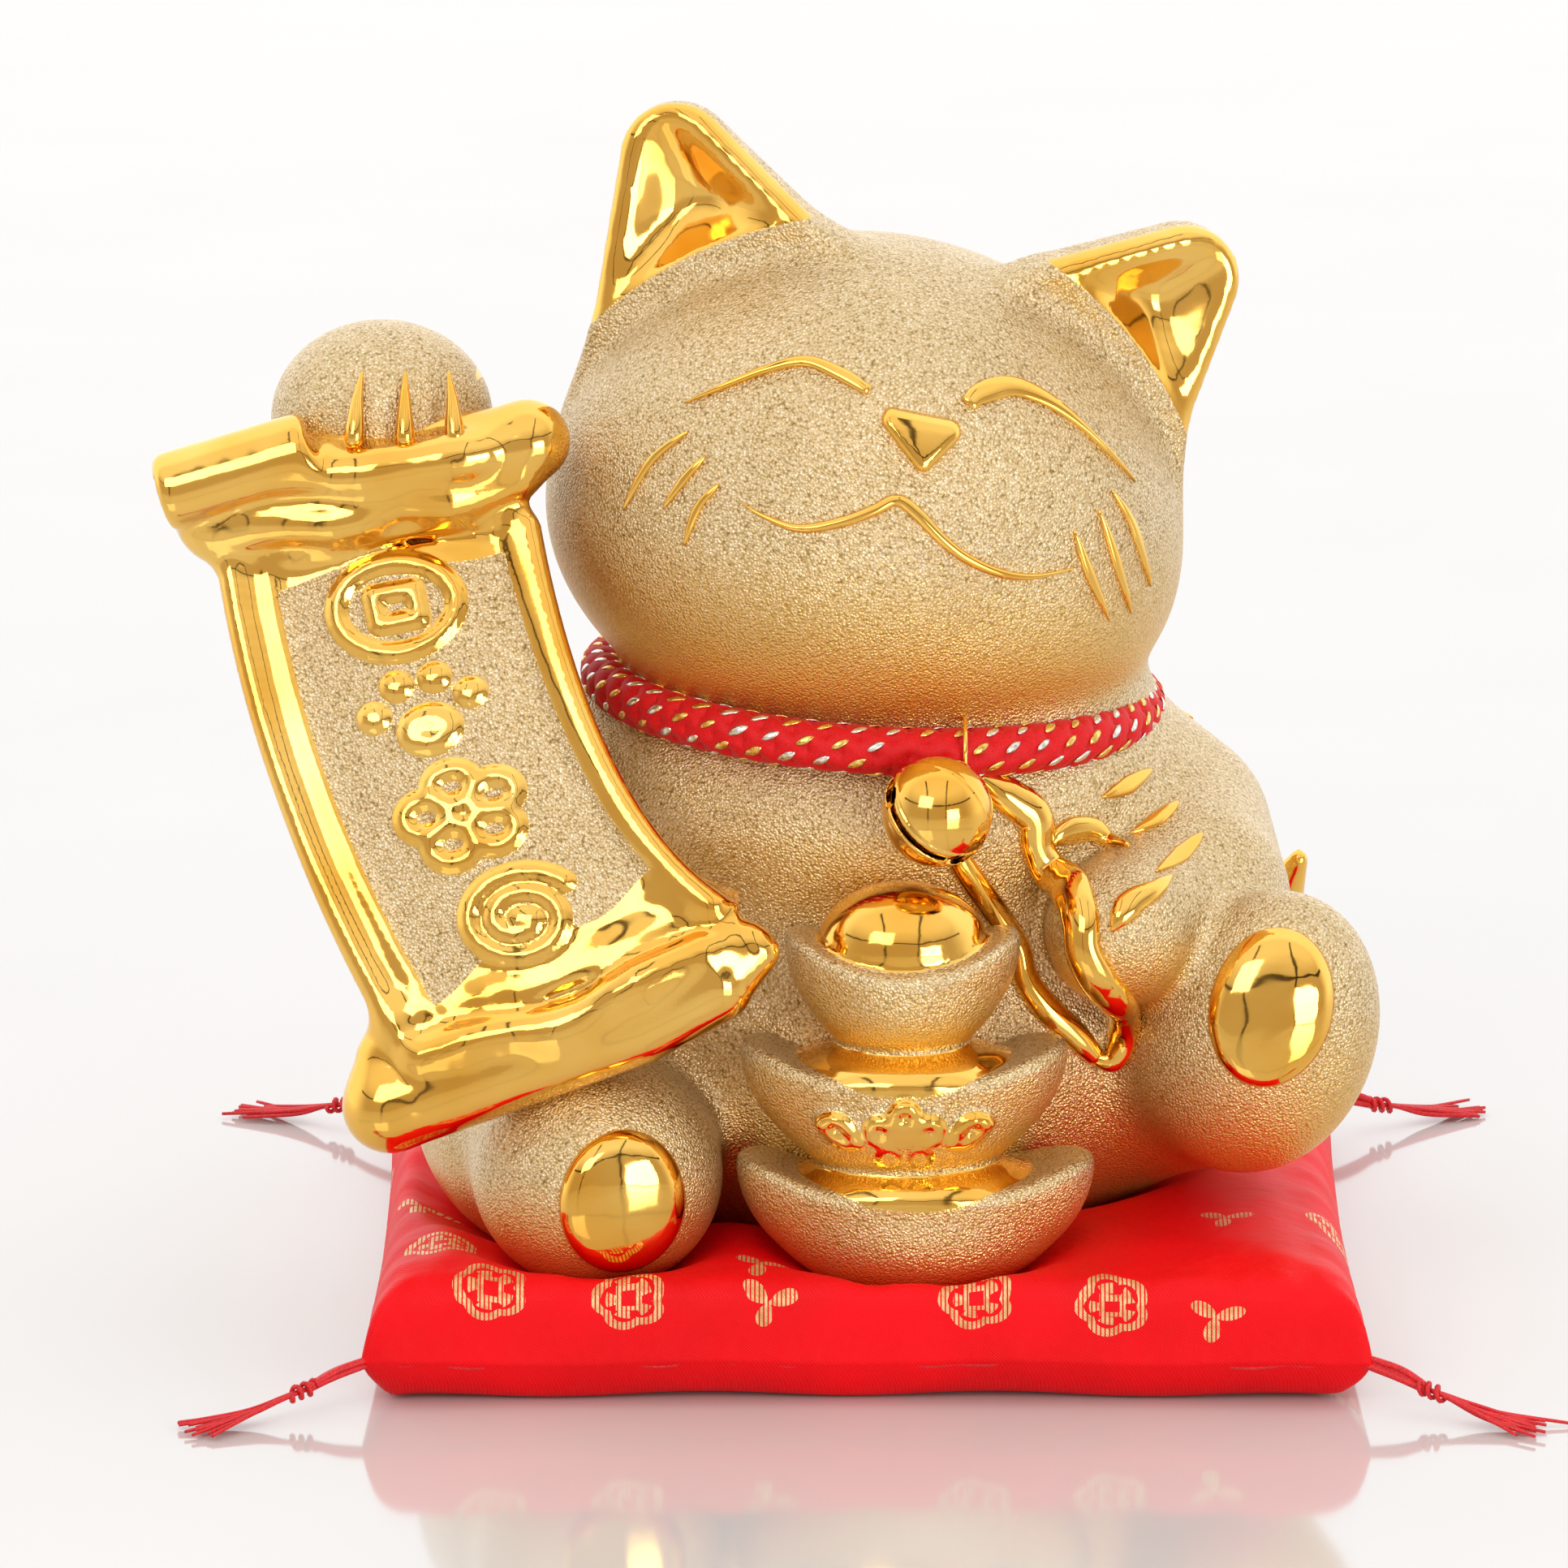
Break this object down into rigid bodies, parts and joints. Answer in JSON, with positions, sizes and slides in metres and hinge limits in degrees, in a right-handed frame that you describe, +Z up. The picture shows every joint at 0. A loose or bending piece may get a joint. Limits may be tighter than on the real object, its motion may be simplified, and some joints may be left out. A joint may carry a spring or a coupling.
{
  "type": "beckoning cat figurine",
  "caption": "Seated ceramic beckoning cat in matt and bright gold with a raised paw, a scroll and stacked ingots, a corded bell, on a red brocade cushion.",
  "frame": {"origin": "centre of the cushion's underside", "axes": "+Z up, the cat faces -Y, +X towards the cat's left and the viewer's right"},
  "size_m": [0.1585, 0.1348, 0.14],
  "materials": {
    "matt_gold_ceramic": "sandy matt champagne gold glaze with fine sparkling grain",
    "bright_gold_ceramic": "polished gold lustre over glaze",
    "braided_cord": "red braided satin cord with gold and silver tinsel flecks",
    "bell_brass": "polished gold plating",
    "brocade": "red satin brocade with woven gold coin and leaf motifs",
    "tassel_thread": "twisted red silky thread",
    "stuffing": "white polyester fibre filling"
  },
  "bodies": {
    "cushion": {"cushion_top_cover": "brocade", "cushion_bottom_cover": "brocade", "cushion_stuffing": "stuffing", "tassel_front_right": "tassel_thread", "tassel_front_left": "tassel_thread", "tassel_back_right": "tassel_thread", "tassel_back_left": "tassel_thread"},
    "figure": {"head_shell": "matt_gold_ceramic", "torso_shell": "matt_gold_ceramic", "left_leg": "matt_gold_ceramic", "right_leg": "matt_gold_ceramic", "left_arm": "matt_gold_ceramic", "right_arm": "matt_gold_ceramic", "tail": "matt_gold_ceramic", "right_ear": "matt_gold_ceramic", "left_ear": "matt_gold_ceramic", "scroll_sheet": "matt_gold_ceramic", "bottom_ingot": "matt_gold_ceramic", "middle_ingot": "matt_gold_ceramic", "top_ingot": "matt_gold_ceramic", "right_ear_lining": "bright_gold_ceramic", "left_ear_lining": "bright_gold_ceramic", "scroll_top_rod": "bright_gold_ceramic", "scroll_bottom_rod": "bright_gold_ceramic", "scroll_edge_right": "bright_gold_ceramic", "scroll_edge_left": "bright_gold_ceramic", "scroll_ornament_1": "bright_gold_ceramic", "scroll_ornament_2": "bright_gold_ceramic", "scroll_ornament_3": "bright_gold_ceramic", "scroll_ornament_4": "bright_gold_ceramic", "raised_claw_1": "bright_gold_ceramic", "raised_claw_2": "bright_gold_ceramic", "raised_claw_3": "bright_gold_ceramic", "bottom_ingot_dome": "bright_gold_ceramic", "middle_ingot_dome": "bright_gold_ceramic", "top_ingot_dome": "bright_gold_ceramic", "ingot_ornament": "bright_gold_ceramic", "right_foot_pad": "bright_gold_ceramic", "left_foot_pad": "bright_gold_ceramic", "right_eye_line": "bright_gold_ceramic", "left_eye_line": "bright_gold_ceramic", "right_whisker_1": "bright_gold_ceramic", "right_whisker_2": "bright_gold_ceramic", "right_whisker_3": "bright_gold_ceramic", "left_whisker_1": "bright_gold_ceramic", "left_whisker_2": "bright_gold_ceramic", "left_whisker_3": "bright_gold_ceramic", "mouth": "bright_gold_ceramic", "nose": "bright_gold_ceramic", "belly_ribbon": "bright_gold_ceramic", "lowered_claw_1": "bright_gold_ceramic", "lowered_claw_2": "bright_gold_ceramic", "fur_stroke_1": "bright_gold_ceramic", "fur_stroke_2": "bright_gold_ceramic", "fur_stroke_3": "bright_gold_ceramic", "neck_cord": "braided_cord", "bell_jump_ring": "bell_brass"},
    "bell": {"bell_upper_shell": "bell_brass", "bell_lower_shell": "bell_brass"},
    "pellet": {"bell_pellet": "bell_brass"}
  },
  "joints": [
    {"name": "figure_lift", "type": "slide", "parent": "cushion", "child": "figure", "axis": [0, 0, 1], "range_m": [0, 0.03]},
    {"name": "bell_swing", "type": "hinge", "parent": "figure", "child": "bell", "pos_m": [0.0112, -0.0336, 0.0675], "axis": [1, 0, 0], "range_deg": [-14, 12]},
    {"name": "pellet_slide", "type": "slide", "parent": "bell", "child": "pellet", "axis": [-0.4499, -0.8299, -0.33], "range_m": [-0.002, 0.002]}
  ]
}
